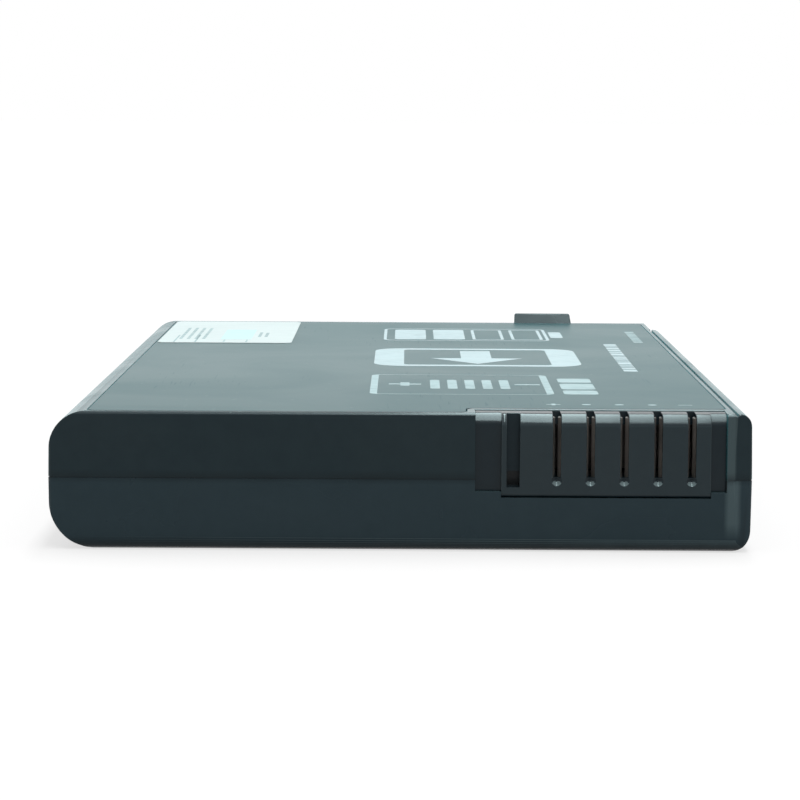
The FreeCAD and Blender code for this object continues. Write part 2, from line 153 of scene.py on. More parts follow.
# Light
WHITE = (1, 1, 1, 1)
TENT_COLOUR = (0.76, 0.98, 1.0)
TENT_BACK = 1.15
TENT_FRONT = 0.4
TENT_TURN = (-0.45, 0.25)
STRIP_PLACE = Vector((0.085, -0.165, 0.9))
STRIP_SIZE = (0.18, 1.83)
STRIP_POWER = 9.0
FLOOR_SHADE = 0.34
FLOOR_BOUNCE = 0.4
FLOOR_GLOW_NEAR = 0.66
FLOOR_GLOW_FAR = 0.85
FLOOR_REACH = (0.2, 0.9)
FLOOR_SIZE = 6.0


# Building with nodes
def feed(tree, socket, value):
    """Sets an input to a value, or joins it to another node's output."""
    if isinstance(value, bpy.types.NodeSocket):
        tree.links.new(value, socket)
    else:
        socket.default_value = value


def add(tree, kind, inputs=None, **settings):
    """Adds a node, sets its properties, and fills its inputs with values or with other nodes' outputs."""
    made = tree.nodes.new(kind)
    for name, value in settings.items():
        setattr(made, name, value)
    for name, value in (inputs or {}).items():
        feed(tree, made.inputs[name], value)
    return made


def calculate(tree, operation, first, second=0.0):
    return add(tree, "ShaderNodeMath", {0: first, 1: second}, operation=operation).outputs[0]


def product(tree, first, *others):
    for other in others:
        first = calculate(tree, "MULTIPLY", first, other)
    return first


def ranged(tree, value, start, end, first=0.0, last=1.0):
    """Value that goes from first to last while another goes from start to end."""
    node = add(tree, "ShaderNodeMapRange", {0: value, 1: start, 2: end, 3: first, 4: last})
    return node.outputs[0]


def between(tree, share, first, last):
    """Value between two values."""
    return ranged(tree, share, 0.0, 1.0, first, last)


def mixed(tree, share, first, second):
    """Colour between two colours."""
    node = add(tree, "ShaderNodeMix", {0: share, 6: first, 7: second}, data_type="RGBA")
    return node.outputs[2]


def tinted(tree, colour, tint, mask, share):
    """Colour drawn towards a tint by a share of a mask."""
    return mixed(tree, product(tree, mask, share), colour, tint)


def noise(tree, place, scale, detail, warp=0.0):
    inputs = {"Vector": place, "Scale": scale, "Detail": detail, "Distortion": warp}
    return add(tree, "ShaderNodeTexNoise", inputs).outputs[0]


def split(tree, vector):
    """The three parts of a vector."""
    return add(tree, "ShaderNodeSeparateXYZ", {0: vector}).outputs


def facing(tree):
    """The three parts of the surface's normal."""
    return split(tree, add(tree, "ShaderNodeNewGeometry").outputs["Normal"])


def band_about(tree, value, middle, reach, full):
    """Mask that is whole up to a share of the reach from a middle, and fades out to the reach."""
    away = calculate(tree, "ABSOLUTE", calculate(tree, "SUBTRACT", value, middle))
    return ranged(tree, calculate(tree, "DIVIDE", away, reach), start=1.0, end=full)


def new_group(name, values, masks):
    """Empty shader group that takes a place and named values, and puts out named masks."""
    group = bpy.data.node_groups.new(name, "ShaderNodeTree")
    group.interface.new_socket(name="Place", in_out="INPUT", socket_type="NodeSocketVector")
    for label, value in values.items():
        socket = group.interface.new_socket(name=label, in_out="INPUT", socket_type="NodeSocketFloat")
        socket.default_value = value
    for label in masks:
        group.interface.new_socket(name=label, in_out="OUTPUT", socket_type="NodeSocketFloat")
    return group, add(group, "NodeGroupInput").outputs, add(group, "NodeGroupOutput").inputs


def use_group(tree, group, place, **values):
    """Masks of a shared effect, placed in a finish with its own values."""
    inputs = {"Place": place}
    for name, value in values.items():
        inputs[name.title()] = value
    return add(tree, "ShaderNodeGroup", inputs, node_tree=group).outputs


# Effects that several finishes share
def make_moulded_grain():
    """Spark-eroded tool texture: a fine height with pits, and a slower fleck of shade."""
    group, given, result = new_group("moulded_grain", {"Grain": 3000.0}, ["Height", "Fleck"])
    pit_scale, pit_depth, fleck_scale = 0.7, 0.6, 0.12
    fine = noise(group, given["Place"], given["Grain"], detail=2.0)
    pits = add(group, "ShaderNodeTexVoronoi", {"Vector": given["Place"],
                                               "Scale": product(group, given["Grain"], pit_scale)})
    pitted = product(group, pits.outputs[0], pit_depth)
    feed(group, result["Height"], calculate(group, "ADD", fine, pitted))
    slow = noise(group, given["Place"], product(group, given["Grain"], fleck_scale), detail=4.0)
    feed(group, result["Fleck"], ranged(group, slow, start=0.3, end=0.7))
    return group


def make_handling_wear():
    """Greasy smudges from hands, and hairline scuffs on level faces from sliding in and out."""
    group, given, result = new_group("handling_wear", {"Patch": 45.0}, ["Smudge", "Scuff"])
    hair_turn, hair_stretch = (0.1, 0.2, 0.35), (1.0, 0.04, 1.0)
    hair_fineness, scuffed_patch = 2600.0, 1.7
    patches = noise(group, given["Place"], given["Patch"], detail=5.0, warp=0.8)
    feed(group, result["Smudge"], ranged(group, patches, start=0.38, end=0.68))
    drawn = add(group, "ShaderNodeMapping", {"Vector": given["Place"], "Rotation": hair_turn,
                                             "Scale": hair_stretch})
    lines = noise(group, drawn.outputs[0], hair_fineness, detail=1.0)
    area = noise(group, given["Place"], product(group, given["Patch"], scuffed_patch), detail=2.0)
    hair = ranged(group, lines, start=0.66, end=0.72)
    patchy = ranged(group, area, start=0.5, end=0.66)
    level = ranged(group, calculate(group, "ABSOLUTE", facing(group)[2]), start=0.7, end=0.95)
    feed(group, result["Scuff"], product(group, hair, patchy, level))
    return group


def make_settled_dust():
    """Sparse specks that lie on faces that look up."""
    group, given, result = new_group("settled_dust", {"Specks": 500.0}, ["Dust"])
    bare_share = 0.72
    cells = add(group, "ShaderNodeTexVoronoi", {"Vector": given["Place"], "Scale": given["Specks"]})
    chance = add(group, "ShaderNodeSeparateColor", {0: cells.outputs["Color"]}).outputs[0]
    speck = ranged(group, cells.outputs["Distance"], start=0.16, end=0.06)
    few = calculate(group, "GREATER_THAN", chance, bare_share)
    upward = ranged(group, facing(group)[2], start=0.4, end=0.9)
    feed(group, result["Dust"], product(group, speck, few, upward))
    return group


def make_corner_highlight():
    """Upright band on the front corner, painted pale as a highlight."""
    group, given, result = new_group("corner_rub", {"Middle": 0.05, "Reach": 0.001}, ["Rub"])
    place = split(group, given["Place"])
    band = band_about(group, place[0], given["Middle"], given["Reach"], full=0.45)
    forward = ranged(group, facing(group)[1], start=-0.8, end=-0.94)
    above = ranged(group, place[2], *CORNER_HIGHLIGHT_FOOT)
    feed(group, result["Rub"], product(group, band, forward, above))
    return group


def make_painted_shade_line():
    """Soft dark line of painted shade on upright faces at one height, such as along the seam and the foot.
    """
    group, given, result = new_group("gathered_grime", {"Level": 0.0, "Reach": 0.001}, ["Grime"])
    patch = 120.0
    line = band_about(group, split(group, given["Place"])[2], given["Level"], given["Reach"], full=0.0)
    patches = noise(group, given["Place"], patch, detail=3.0)
    uneven = ranged(group, patches, start=0.3, end=0.65, first=0.45)
    upright = ranged(group, calculate(group, "ABSOLUTE", facing(group)[2]), start=0.98, end=0.8)
    feed(group, result["Grime"], product(group, line, uneven, upright))
    return group


moulded_grain = make_moulded_grain()
handling_wear = make_handling_wear()
settled_dust = make_settled_dust()
corner_rub = make_corner_highlight()
gathered_grime = make_painted_shade_line()


# Finishes
def new_finish(name, constants):
    """Material with a Principled shader whose plain values sit on its own sockets."""
    material = bpy.data.materials.new(name)
    material.use_nodes = True
    tree = material.node_tree
    tree.nodes.clear()
    shader = add(tree, "ShaderNodeBsdfPrincipled", constants)
    add(tree, "ShaderNodeOutputMaterial", {"Surface": shader.outputs[0]})
    place = add(tree, "ShaderNodeTexCoord").outputs["Object"]
    return material, tree, shader, place


def dress(tree, shader, colour, roughness, height, strength, depth):
    """Joins a finish's colour, roughness and relief to its shader."""
    feed(tree, shader.inputs["Base Color"], colour)
    feed(tree, shader.inputs["Roughness"], roughness)
    bump = add(tree, "ShaderNodeBump", {"Height": height, "Strength": strength, "Distance": depth})
    feed(tree, shader.inputs["Normal"], bump.outputs[0])


def moulded_plastic(name, dark, light, roughness, grain, highlight_colour, shine, corner=None, sheen=0.0):
    """Moulded black plastic with tool grain, smudges, hairlines, dust, and edges that are polished and
    painted pale as a highlight. It shines less on its textured sides than on top. The case has a painted
    highlight down its front corner too, given as its middle and reach, and painted shade along its seam and
    its foot."""
    material, tree, shader, place = new_finish(name, {
        "Sheen Weight": sheen, "Sheen Roughness": SHEEN_SPREAD, "Sheen Tint": SHEEN_TINT})
    feed(tree, shader.inputs["Specular IOR Level"], ranged(tree, facing(tree)[2], *SIDE_TO_TOP, *shine))
    tooth = use_group(tree, moulded_grain, place, grain=grain)
    wear = use_group(tree, handling_wear, place, patch=42.0)
    dust = use_group(tree, settled_dust, place, specks=620.0)["Dust"]
    # Faces marked in this attribute are painted pale as a highlight and made a little smoother
    edge = add(tree, "ShaderNodeAttribute", attribute_name="edge_polish").outputs["Fac"]
    fleck_share, smudge_share = 0.55, 0.45
    shade = calculate(tree, "ADD", product(tree, tooth["Fleck"], fleck_share),
                      product(tree, wear["Smudge"], smudge_share))
    colour = mixed(tree, shade, dark, light)
    colour = tinted(tree, colour, highlight_colour, edge, share=0.7)
    # On the case: a painted highlight down the front corner, and painted shade along the seam and the foot
    if corner:
        middle, reach = corner
        rub_and_highlight = use_group(tree, corner_rub, place, middle=middle, reach=reach)["Rub"]
        colour = tinted(tree, colour, highlight_colour, rub_and_highlight, share=0.7)
        seam = use_group(tree, gathered_grime, place, level=seam_height + SEAM_SHADE_LIFT,
                         reach=SEAM_SHADE_REACH)
        foot = use_group(tree, gathered_grime, place, level=cad_low.z, reach=FOOT_SHADE_REACH)
        painted_shade = calculate(tree, "MAXIMUM", seam["Grime"], foot["Grime"])
        colour = tinted(tree, colour, PAINTED_SHADE_COLOUR, painted_shade, share=0.7)
    colour = tinted(tree, colour, SCUFF_COLOUR, wear["Scuff"], share=0.12)
    colour = tinted(tree, colour, DUST_COLOUR, dust, share=0.25)
    smudge_smoothing, edge_smoothing = 0.05, 0.1
    rough = between(tree, wear["Smudge"], roughness + smudge_smoothing, roughness - smudge_smoothing)
    rough = calculate(tree, "SUBTRACT", rough, product(tree, edge, edge_smoothing))
    dress(tree, shader, colour, rough, tooth["Height"], strength=0.2, depth=0.01 * MM)
    return material


def film_finish():
    """Matt printed polyester film with a faint orange peel and wipe marks, duller at the contact end."""
    material, tree, shader, place = new_finish("face_film_matt", {
        "Specular IOR Level": 0.36, "Sheen Weight": FILM_SHEEN, "Sheen Roughness": SHEEN_SPREAD,
        "Sheen Tint": SHEEN_TINT})
    tooth = use_group(tree, moulded_grain, place, grain=1800.0)
    wear = use_group(tree, handling_wear, place, patch=24.0)
    dust = use_group(tree, settled_dust, place, specks=420.0)["Dust"]
    clean, smudged, flecked = (0.012, 0.017, 0.018, 1), (0.02, 0.026, 0.028, 1), (0.03, 0.036, 0.038, 1)
    colour = mixed(tree, wear["Smudge"], clean, smudged)
    colour = tinted(tree, colour, flecked, tooth["Fleck"], share=0.25)
    colour = tinted(tree, colour, FILM_DUST_COLOUR, dust, share=0.2)
    scuff_roughness = 0.05
    rough = between(tree, wear["Smudge"], first=0.3, last=0.36)
    rough = calculate(tree, "ADD", rough, product(tree, wear["Scuff"], scuff_roughness))
    along = split(tree, place)[1]
    rub_and_highlight = ranged(tree, along, film_low.y + FILM_RUB_REACH, film_low.y, 0.0, FILM_RUB)
    rough = calculate(tree, "ADD", rough, rub_and_highlight)
    dress(tree, shader, colour, rough, tooth["Height"], strength=0.12, depth=0.01 * MM)
    return material


def paper_finish():
    """Coated white label stock, a little uneven and faintly soiled."""
    material, tree, shader, place = new_finish("label_coated_white", {"Specular IOR Level": 0.3})
    tooth = use_group(tree, moulded_grain, place, grain=2400.0)
    wear = use_group(tree, handling_wear, place, patch=70.0)
    clean, soiled, scuffed = (0.685, 0.64, 0.63, 1), (0.64, 0.6, 0.59, 1), (0.6, 0.66, 0.67, 1)
    colour = tinted(tree, clean, soiled, wear["Smudge"], share=0.6)
    colour = tinted(tree, colour, scuffed, wear["Scuff"], share=0.3)
    rough = between(tree, tooth["Fleck"], first=0.42, last=0.55)
    dress(tree, shader, colour, rough, tooth["Height"], strength=0.1, depth=0.01 * MM)
    return material


def ink_finish(name, full, thin):
    """Screen-printed ink that lies unevenly and is rubbed thin in patches."""
    material, tree, shader, place = new_finish(name, {"Specular IOR Level": 0.3})
    tooth = use_group(tree, moulded_grain, place, grain=4200.0)
    wear = use_group(tree, handling_wear, place, patch=90.0)
    least_thinning = 0.2
    thinned = product(tree, wear["Smudge"], calculate(tree, "ADD", tooth["Fleck"], least_thinning))
    colour = tinted(tree, full, thin, thinned, share=0.5)
    rough = between(tree, tooth["Fleck"], first=0.4, last=0.52)
    dress(tree, shader, colour, rough, tooth["Height"], strength=0.1, depth=0.005 * MM)
    return material


def metal_finish(name, bright, dull, roughness):
    """Rolled and stamped sheet metal with drawing lines and tarnish."""
    material, tree, shader, place = new_finish(name, {"Metallic": 1.0})
    wear = use_group(tree, handling_wear, place, patch=160.0)
    drawn = add(tree, "ShaderNodeMapping", {"Vector": place, "Scale": DRAWN_STRETCH})
    lines = noise(tree, drawn.outputs[0], DRAWN_FINENESS, detail=3.0)
    colour = mixed(tree, wear["Smudge"], bright, dull)
    line_roughness = 0.16
    rough = ranged(tree, lines, start=0.3, end=0.7, first=roughness, last=roughness + line_roughness)
    dress(tree, shader, colour, rough, lines, strength=0.15, depth=0.005 * MM)
    return material


def sleeve_finish(name, dark, light, roughness):
    """Shrunk or extruded soft plastic: slight tone drift, faint ripples and rubbed spots."""
    material, tree, shader, place = new_finish(name, {"Specular IOR Level": 0.4})
    tooth = use_group(tree, moulded_grain, place, grain=900.0)
    wear = use_group(tree, handling_wear, place, patch=60.0)
    colour = mixed(tree, wear["Smudge"], dark, light)
    fleck_roughness = 0.12
    rough = between(tree, tooth["Fleck"], roughness, roughness + fleck_roughness)
    dress(tree, shader, colour, rough, tooth["Height"], strength=0.1, depth=0.03 * MM)
    return material


def laminate_finish():
    """Green solder mask over copper tracks that show as a faint raised pattern."""
    material, tree, shader, place = new_finish("board_green_mask", {"Specular IOR Level": 0.5})
    tooth = use_group(tree, moulded_grain, place, grain=2600.0)
    tracks = add(tree, "ShaderNodeTexBrick", {"Vector": place, "Scale": 160.0, "Mortar Size": 0.06,
                                              "Mortar Smooth": 0.2, "Bias": 0.0}, offset=0.5)
    track = ranged(tree, tracks.outputs["Fac"], start=0.4, end=0.6)
    bare, tracked, flecked = (0.006, 0.075, 0.03, 1), (0.02, 0.14, 0.06, 1), (0.03, 0.16, 0.08, 1)
    colour = mixed(tree, track, bare, tracked)
    colour = tinted(tree, colour, flecked, tooth["Fleck"], share=0.2)
    rough = between(tree, tooth["Fleck"], first=0.26, last=0.38)
    dress(tree, shader, colour, rough, track, strength=0.4, depth=0.03 * MM)
    return material


upper_plastic = moulded_plastic(
    "upper_case_black", dark=(0.0095, 0.0215, 0.0275, 1), light=(0.014, 0.028, 0.034, 1), roughness=0.2,
    grain=CASE_GRAIN, highlight_colour=(0.08, 0.105, 0.112, 1), shine=(0.16, 0.5), corner=UPPER_CORNER_HIGHLIGHT,
    sheen=SHELL_SHEEN)
# Its colours are lighter than the upper shell's: painted light from the floor's bounce
lower_plastic = moulded_plastic(
    "lower_case_black", dark=(0.023, 0.039, 0.048, 1), light=(0.028, 0.046, 0.056, 1), roughness=0.25,
    grain=CASE_GRAIN, highlight_colour=(0.11, 0.14, 0.15, 1), shine=(0.14, 0.35), corner=LOWER_CORNER_HIGHLIGHT)
connector_plastic = moulded_plastic(
    "connector_black", dark=(0.005, 0.014, 0.02, 1), light=(0.009, 0.019, 0.025, 1), roughness=0.22,
    grain=CONNECTOR_GRAIN, highlight_colour=(0.26, 0.31, 0.32, 1), shine=(0.19, 0.48))
film_black = film_finish()
label_white = paper_finish()
white_ink = ink_finish("print_white", full=(0.535, 0.565, 0.585, 1), thin=(0.4, 0.42, 0.435, 1))
pale_ink = ink_finish("print_pale", full=(0.42, 0.48, 0.49, 1), thin=(0.2, 0.24, 0.25, 1))
grey_ink = ink_finish("label_print_grey", full=(0.32, 0.37, 0.38, 1), thin=(0.55, 0.62, 0.63, 1))
label_grey = ink_finish("label_field_grey", full=(0.58, 0.68, 0.69, 1), thin=(0.64, 0.73, 0.74, 1))
contact_metal = metal_finish(
    "contact_dull_tin", bright=(0.345, 0.313, 0.292, 1), dull=(0.24, 0.218, 0.204, 1), roughness=0.58)
link_nickel = metal_finish(
    "link_nickel", bright=(0.62, 0.6, 0.55, 1), dull=(0.45, 0.43, 0.4, 1), roughness=0.28)
cell_sleeve = sleeve_finish(
    "cell_sleeve_green", dark=(0.05, 0.2, 0.14, 1), light=(0.07, 0.26, 0.18, 1), roughness=0.35)
lead_black = sleeve_finish(
    "lead_sleeve_black", dark=(0.012, 0.012, 0.013, 1), light=(0.022, 0.022, 0.023, 1), roughness=0.4)
lead_yellow = sleeve_finish(
    "lead_sleeve_yellow", dark=(0.62, 0.4, 0.03, 1), light=(0.72, 0.48, 0.05, 1), roughness=0.4)
lead_red = sleeve_finish(
    "lead_sleeve_red", dark=(0.4, 0.015, 0.012, 1), light=(0.5, 0.025, 0.02, 1), roughness=0.4)
sensor_white = sleeve_finish(
    "sensor_lead_white", dark=(0.6, 0.59, 0.55, 1), light=(0.7, 0.69, 0.65, 1), roughness=0.45)
board_green = laminate_finish()
part_epoxy = sleeve_finish(
    "board_part_epoxy", dark=(0.012, 0.012, 0.012, 1), light=(0.024, 0.024, 0.025, 1), roughness=0.5)
insulating_sheet = sleeve_finish(
    "insulating_sheet_grey", dark=(0.22, 0.24, 0.22, 1), light=(0.28, 0.3, 0.27, 1), roughness=0.65)


# Pieces
def new_piece(name, mesh, material=None):
    """Puts a mesh into the scene as a piece that rides with the pack and takes its finish from a slot."""
    piece = bpy.data.objects.new(name, mesh)
    scene.collection.objects.link(piece)
    if material is not None:
        mesh.materials.clear()
        mesh.materials.append(material)
    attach(piece, BODY)
    return piece


def evaluated_mesh(piece):
    """Plain mesh of a piece with its modifiers worked in."""
    graph = bpy.context.evaluated_depsgraph_get()
    return bpy.data.meshes.new_from_object(piece.evaluated_get(graph), preserve_all_data_layers=True,
                                           depsgraph=graph)


def in_bay(place):
    """Whether a place lies at the opening for the connector."""
    return housing_low.x < place.x < housing_high.x and place.y < housing_low.y + BAY_REACH


def on_block(place):
    """Whether a place lies on the slotted block and not on the flange around it."""
    across = contacts_left - BLOCK_LEFT_REACH < place.x < contacts_right + BLOCK_RIGHT_REACH
    return across and place.y < housing_low.y + BLOCK_DEPTH and place.z > housing_low.z + BLOCK_FOOT


def edge_share(node, edge):
    """Share of the full rounding that an outer edge takes. On the connector only the block's edges are
    rounded, without the level ones at the foot of its slots. On the shells none are at the seam and where
    the connector fits, and those of the roof's lip over the connector are rounded most."""
    places = [corner.co for corner in edge.verts]
    if node == "connector_housing":
        level = abs(places[0].z - places[1].z) < NEARBY
        slot_foot = level and places[0].z < housing_middle
        return 1.0 if all(on_block(place) for place in places) and not slot_foot else 0.0
    at_seam = all(abs(place.z - seam_height) < NEARBY for place in places)
    at_bay = all(in_bay(place) for place in places)
    at_lip = at_bay and all(place.z > film_top - NEARBY for place in places)
    if at_lip:
        return 1.0
    return 0.0 if at_seam or at_bay else OUTER_SHARE


def merged_copy(node):
    """Copy of a solid's mesh with triangles joined, flat faces whole and outer edges weighted."""
    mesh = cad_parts[node].data.copy()
    if mesh.has_custom_normals:
        mesh.attributes.remove(mesh.attributes["custom_normal"])
    shell = bmesh.new()
    shell.from_mesh(mesh)
    bmesh.ops.remove_doubles(shell, verts=shell.verts, dist=MERGE_DISTANCE)
    bmesh.ops.dissolve_limit(shell, angle_limit=FLAT_ANGLE, verts=shell.verts, edges=shell.edges)
    for face in shell.faces:
        face.smooth = True
    weight = shell.edges.layers.float.new("bevel_weight_edge")
    for edge in shell.edges:
        if edge.calc_face_angle_signed(0.0) > ROUNDED_FROM:
            edge[weight] = edge_share(node, edge)
    shell.to_mesh(mesh)
    shell.free()
    return mesh


def crease_edges(mesh):
    """Keeps the shading apart on both sides of inner corners and of outer edges that have no rounding."""
    shell = bmesh.new()
    shell.from_mesh(mesh)
    for edge in shell.edges:
        turn = edge.calc_face_angle_signed(0.0)
        rounding = any(face.material_index == ROUNDING_INDEX for face in edge.link_faces)
        edge.smooth = turn > -CREASED_FROM and (rounding or turn < CREASED_FROM)
    shell.to_mesh(mesh)
    shell.free()


def highlight_and_polish_of(node, face):
    """How far a face is polished smooth and painted pale as a highlight: edges and the block's front a
    little, lead-ins and the bay's rim more. A face below zero is only made rough: the insides of the slots
    and the finger lug."""
    if node != "connector_housing" and in_bay(face.center):
        at_lip = face.material_index == ROUNDING_INDEX and face.center.z > film_top - 2 * NEARBY
        return LIP_HIGHLIGHT_AND_POLISH if at_lip else BAY_HIGHLIGHT_AND_POLISH
    if face.center.z > film_top + NEARBY:
        return LUG_POLISH
    if face.material_index == ROUNDING_INDEX:
        return EDGE_HIGHLIGHT_AND_POLISH
    if node != "connector_housing":
        return 0.0
    depth = face.center.y - housing_low.y
    if face.normal.y < FACES_FORWARD and depth < NEARBY:
        return BLOCK_PAINTED_LIGHT_AND_POLISH
    if on_block(face.center) and depth > INSIDE_DEPTH and face.normal.z < FACES_UP:
        return INSIDE_POLISH
    slanted = face.normal.y < SLANTS_FORWARD and face.normal.z > SLANTS_UP
    lead_in = slanted and face.center.z < housing_middle and depth < LEAD_IN_DEPTH
    return LEAD_IN_HIGHLIGHT_AND_POLISH if lead_in else 0.0


def softened(name, node, rounding, material):
    """Moulded piece with its sharp edges rounded. A second material slot tells the rounding from the rest
    while each face is marked with how far it is polished and painted pale as a highlight."""
    mesh = merged_copy(node)
    mesh.materials.clear()
    mesh.materials.append(material)
    mesh.materials.append(material)
    for face in mesh.polygons:
        face.material_index = 0
    blank = bpy.data.objects.new(name + "_blank", mesh)
    scene.collection.objects.link(blank)
    bevel = blank.modifiers.new("rounding", "BEVEL")
    bevel.width = rounding
    bevel.segments = ROUNDING_STEPS
    bevel.limit_method = "WEIGHT"
    bevel.use_clamp_overlap = False
    bevel.material = ROUNDING_INDEX
    blank.data = evaluated_mesh(blank)
    blank.modifiers.clear()
    crease_edges(blank.data)
    blank.modifiers.new("flat_faces", "WEIGHTED_NORMAL").keep_sharp = True
    made = evaluated_mesh(blank)
    bpy.data.objects.remove(blank)
    highlight_and_polish = made.attributes.new("edge_polish", "FLOAT", "FACE")
    for face in made.polygons:
        highlight_and_polish.data[face.index].value = highlight_and_polish_of(node, face)
        face.material_index = 0
    made.materials.pop(index=ROUNDING_INDEX)
    piece = new_piece(name, made)
    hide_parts(node)


softened("upper_shell", "upper_case", SHELL_ROUNDING, upper_plastic)
softened("lower_shell", "lower_case", SHELL_ROUNDING, lower_plastic)
softened("contact_carrier", "connector_housing", HOUSING_ROUNDING, connector_plastic)


def finish_node(node, material):
    """Gives a solid that stays as it is its finish."""
    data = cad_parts[node].data
    data.materials.clear()
    data.materials.append(material)


NODE_FINISHES = {
    "face_film": film_black, "rear_label": label_white, "circuit_board": board_green,
    "cell_insulator": insulating_sheet, "lead_negative": lead_black, "lead_tap_mid": lead_yellow,
    "lead_positive": lead_red, "thermistor": sensor_white}
FAMILY_FINISHES = {"contact_": contact_metal, "strip_": link_nickel, "cell_": cell_sleeve}
for node_name in sorted(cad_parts):
    if node_name in NODE_FINISHES:
        finish_node(node_name, NODE_FINISHES[node_name])
        continue
    families = [finish for start, finish in FAMILY_FINISHES.items() if node_name.startswith(start)]
    finish_node(node_name, families[0] if families else part_epoxy)


# Print on the film and the label, laid out in millimetres
def rounded_outline(left, right, near, far, radius):
    """Points of a rounded rectangle, anticlockwise."""
    centres = [(right - radius, far - radius), (left + radius, far - radius),
               (left + radius, near + radius), (right - radius, near + radius)]
    points = []
    for quarter, (x, y) in enumerate(centres):
        for step in range(ARC_STEPS + 1):
            angle = math.pi / 2 * (quarter + step / ARC_STEPS)
            points.append((x + radius * math.cos(angle), y + radius * math.sin(angle)))
    return points


def ink_loop(ink, outline, height):
    return [ink.verts.new((x * MM, y * MM, height)) for x, y in outline]


def ink_walls(ink, low, high):
    for index in range(len(low)):
        after = (index + 1) % len(low)
        ink.faces.new((low[index], low[after], high[after], high[index]))


def ink_patch(ink, outline, base):
    """Closed patch of ink inside an outline."""
    low = ink_loop(ink, outline, base)
    high = ink_loop(ink, outline, base + INK_THICKNESS)
    ink.faces.new(high)
    ink.faces.new(low[::-1])
    ink_walls(ink, low, high)


def ink_ring(ink, outer, inner, base):
    """Closed band of ink between two outlines of as many points."""
    top = base + INK_THICKNESS
    outer_low = ink_loop(ink, outer, base)
    outer_high = ink_loop(ink, outer, top)
    inner_low = ink_loop(ink, inner, base)
    inner_high = ink_loop(ink, inner, top)
    ink_walls(ink, outer_low, outer_high)
    ink_walls(ink, inner_high, inner_low)
    ink_walls(ink, outer_high, inner_high)
    ink_walls(ink, inner_low, outer_low)


def ink_outline(ink, left, right, near, far, radius, stroke, base):
    """Rounded rectangle drawn as a line of even stroke."""
    inner = rounded_outline(left + stroke, right - stroke, near + stroke, far - stroke, radius - stroke)
    ink_ring(ink, rounded_outline(left, right, near, far, radius), inner, base)


def ink_bar(ink, x, y, across, along, base):
    """Plain bar of ink about a middle point."""
    ink_patch(ink, [(x - across / 2, y - along / 2), (x + across / 2, y - along / 2),
                    (x + across / 2, y + along / 2), (x - across / 2, y + along / 2)], base)


def ink_plus(ink, x, y, reach, stroke, base):
    """Plus sign as one closed outline."""
    arm, half = reach / 2, stroke / 2
    outline = [(half, half), (half, arm), (-half, arm), (-half, half), (-arm, half), (-arm, -half),
               (-half, -half), (-half, -arm), (half, -arm), (half, -half), (arm, -half), (arm, half)]
    ink_patch(ink, [(x + across, y + along) for across, along in outline], base)


def printed(name, ink, material):
    """Makes a piece of finished ink."""
    mesh = bpy.data.meshes.new(name)
    ink.to_mesh(mesh)
    ink.free()
    new_piece(name, mesh, material)


def print_insert_mark(base):
    """Heavy frame with an arrow that points to the contact end."""
    ink = bmesh.new()
    outside = rounded_outline(left=-5.0, right=32.3, near=-11.8, far=22.0, radius=5.0)
    inside = rounded_outline(left=0.4, right=26.9, near=-9.2, far=19.4, radius=1.2)
    ink_ring(ink, outside, inside, base)
    middle, head, shaft = 13.65, 8.4, 2.8
    tip, neck, tail = -7.4, 3.0, 17.2
    ink_patch(ink, [(middle, tip), (middle + head, neck), (middle + shaft, neck), (middle + shaft, tail),
                    (middle - shaft, tail), (middle - shaft, neck), (middle - head, neck)], base)
    printed("print_insert_mark", ink, white_ink)


def print_charge_mark(base):
    """Thin battery outline with two full and two empty bars."""
    ink = bmesh.new()
    stroke = 0.6
    left, right, near, far = -3.7, 29.0, 39.0, 66.0
    ink_outline(ink, left, right, near, far, radius=2.4, stroke=stroke, base=base)
    pole_gap, pole_end = 0.5, 3.0
    pole = rounded_outline(right + pole_gap, right + pole_end, near=46.0, far=59.0, radius=0.8)
    ink_patch(ink, pole, base)
    bar, gap, side_room, end_room, bar_radius = 6.2, 1.5, 2.2, 2.6, 0.9
    bars, full_bars = 4, 2
    for number in range(bars):
        start = left + side_room + number * (bar + gap)
        sides = (start, start + bar, near + end_room, far - end_room)
        if number < full_bars:
            ink_patch(ink, rounded_outline(*sides, bar_radius), base)
        else:
            ink_outline(ink, *sides, bar_radius, stroke, base)
    printed("print_charge_mark", ink, white_ink)


def print_contact_key(base):
    """Fine frame with heavy ends that holds a plus, a bar for each contact and a minus, with three blocks
    beside it."""
    ink = bmesh.new()
    left, right, near, far = -5.1, 24.8, -57.8, -27.0
    stroke, end = 0.4, 1.2
    outside = rounded_outline(left, right, near, far, radius=1.6)
    inside = rounded_outline(left + end, right - end, near + stroke, far - stroke, radius=0.5)
    ink_ring(ink, outside, inside, base)
    middle = (near + far) / 2
    sign_stroke, plus_place, plus_reach, minus_place, minus_reach = 1.5, 0.6, 5.4, 21.0, 4.2
    ink_plus(ink, plus_place, middle, plus_reach, sign_stroke, base)
    bar_left, bar_right, pitch, half_length = 4.8, 6.4, 2.9, 7.0
    for number in range(len(CONTACTS)):
        bar = rounded_outline(bar_left + pitch * number, bar_right + pitch * number, middle - half_length,
                              middle + half_length, radius=0.6)
        ink_patch(ink, bar, base)
    ink_bar(ink, minus_place, middle, minus_reach, sign_stroke, base)
    for start, length in ((-57.0, 6.0), (-49.5, 9.0), (-38.8, 6.5)):
        block = rounded_outline(left=26.4, right=32.0, near=start, far=start + length, radius=0.9)
        ink_patch(ink, block, base)
    printed("print_contact_key", ink, pale_ink)


